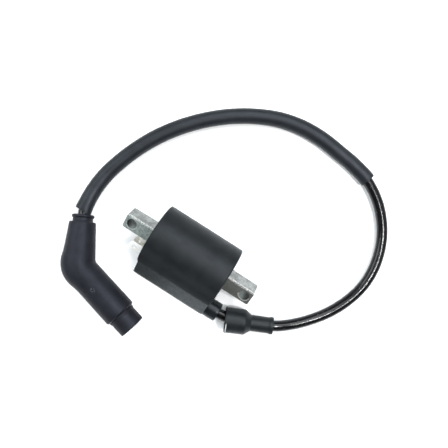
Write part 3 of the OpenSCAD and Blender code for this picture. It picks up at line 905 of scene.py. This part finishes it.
def make_lead_seal():
    """The seal round the lead: a plug inside the cap's collar, a neck and a flange."""
    neck, flange, plug_r, plug_depth, gap = 6.45, 7.25, 5.45, 6.0, 0.05
    corners = [
        (ARM1_LEN - plug_depth, BORE_R, 0), (ARM1_LEN - plug_depth, plug_r, 0), (ARM1_LEN + gap, plug_r, 0),
        (ARM1_LEN + gap, neck + 0.3, 0.1), (ARM1_LEN + 0.6, neck, 0.4), (ARM1_LEN + SEAL_NECK, neck, 0.5),
        (ARM1_LEN + SEAL_NECK, flange, 0.4), (SEAL_END, flange - 0.1, 0.6), (SEAL_END, BORE_R + 0.5, 0.5),
        (SEAL_END - 0.6, BORE_R, 0.3)]
    build("cap_seal", *turned(ARM1, split_long(soften(corners), 1)), "plug_cap", "seal_rubber",
          PAINT["seal"], ["cap_lead_seal"])


def make_plug_boot():
    """The rubber boot at the plug's end, with a sealing groove inside its mouth."""
    bore, socket_start, socket_r, root, groove, end_r, gap = 5.3, 33.1, 7.4, 9.3, 8.7, 8.85, 0.05
    corners = [
        (socket_start, bore, 0), (socket_start, socket_r, 0), (ARM2_LEN + gap, socket_r, 0),
        (ARM2_LEN + gap, root, 0.3), (ARM2_LEN + 0.6, root, 0.8), (ARM2_LEN + 2.4, groove, 1.6),
        (PLUG_END, end_r, 0.9), (PLUG_END, bore + 0.4, 0.3), (PLUG_END - 0.8, bore, 0.3),
        (PLUG_END - 4, bore, 0.2), (PLUG_END - 4.6, bore + 0.5, 0.3), (PLUG_END - 5.4, bore, 0.3)]
    build("plug_boot", *turned(ARM2, split_long(soften(corners), 1)), "plug_cap", "seal_rubber",
          PAINT["seal"], ["cap_plug_boot"])


# ---------- What stays as it is in the frame ----------

KEPT = {
    "potting_resin": "resin", "primary_bobbin": "bobbin", "secondary_bobbin": "bobbin",
    "primary_winding": "enamel", "secondary_winding": "enamel", "primary_tails": "enamel",
    "secondary_leadout": "enamel", "primary_wrap": "film", "ht_contact_pin": "brass",
    "lead_conductor": "strands", "cap_lead_screw": "brass", "cap_resistor": "ceramic",
    "resistor_end_cups": "nickel", "cap_spring": "spring", "cap_plug_clip": "brass",
    "clip_snap_ring": "spring"}


def dress_kept_nodes():
    for node, paint in KEPT.items():
        mesh = frame["nodes"][node].data
        mesh.materials.clear()
        mesh.materials.append(PAINT[paint])


# ---------- Bench and light ----------

COOL = (0.93, 0.97, 1)


def make_bench():
    """A plain floor, wide enough to fill the view. Metres."""
    reach = 3.0
    mesh = bpy.data.meshes.new("bench")
    corners = [(-reach, -reach, 0), (reach, -reach, 0), (reach, reach, 0), (-reach, reach, 0)]
    mesh.from_pydata(corners, [], [(0, 1, 2, 3)])
    mesh.materials.append(PAINT["bench"])
    bench = bpy.data.objects.new("bench", mesh)
    bpy.context.scene.collection.objects.link(bench)


def make_light(name, turn, tilt, distance, size, power, tint=(1, 1, 1), glint=True):
    """A soft square light, turned about +Z from +X and tilted down from overhead, in degrees."""
    data = bpy.data.lights.new(name, "AREA")
    data.shape = "RECTANGLE"
    data.size, data.size_y = size
    data.energy = power
    data.color = tint
    light = bpy.data.objects.new(name, data)
    t, e = math.radians(turn), math.radians(tilt)
    way = Vector((math.cos(t) * math.sin(e), math.sin(t) * math.sin(e), math.cos(e)))
    light.location = way * distance
    light.visible_glossy = glint
    light.rotation_euler = way.to_track_quat("Z", "Y").to_euler()
    bpy.context.scene.collection.objects.link(light)


def make_room():
    """A dim room above, and pale walls low down all round."""
    world = bpy.data.worlds.new("room")
    world.use_nodes = True
    nodes, links = world.node_tree.nodes, world.node_tree.links
    way = nodes.new("ShaderNodeTexCoord")
    split = nodes.new("ShaderNodeSeparateXYZ")
    walls = nodes.new("ShaderNodeMapRange")
    walls_top, ceiling, walls_light, ceiling_light = 0.12, 0.4, 0.75, 0.1
    for socket, number in zip(walls.inputs[1:5], (walls_top, ceiling, walls_light, ceiling_light)):
        socket.default_value = number
    links.new(way.outputs["Generated"], split.inputs[0])
    links.new(split.outputs["Z"], walls.inputs[0])
    links.new(walls.outputs[0], nodes["Background"].inputs["Strength"])
    nodes["Background"].inputs["Color"].default_value = (*COOL, 1)
    bpy.context.scene.world = world


def make_lights():
    make_light("far_softbox", 95, 33, 0.9, (0.75, 0.5), 8.2, COOL)
    make_light("right_softbox", 38, 44, 0.9, (0.7, 0.7), 1.3, COOL)
    make_light("left_softbox", 186, 46, 0.9, (0.6, 0.6), 7, COOL)
    make_light("overhead", 60, 12, 1.1, (0.5, 0.5), 2, COOL)
    make_light("lamp", 19, 23, 0.8, (0.1, 0.1), 4.2)
    make_light("low_fill", -62, 79, 0.5, (0.5, 0.16), 1.2, COOL, glint=False)
    make_room()
    bpy.context.scene.view_settings.view_transform = "Standard"


make_boot()
make_sleeve()
make_cap_shell()
make_lead_seal()
make_plug_boot()
make_lead()
make_housing()
make_core()
make_spade("feed_spade", "feed_terminal", "tin")
# The earth spade wears the paler tin, its painted highlight.
make_spade("earth_spade", "earth_terminal", "tin_painted_highlight")
make_resin_top()
dress_kept_nodes()
make_bench()
make_lights()
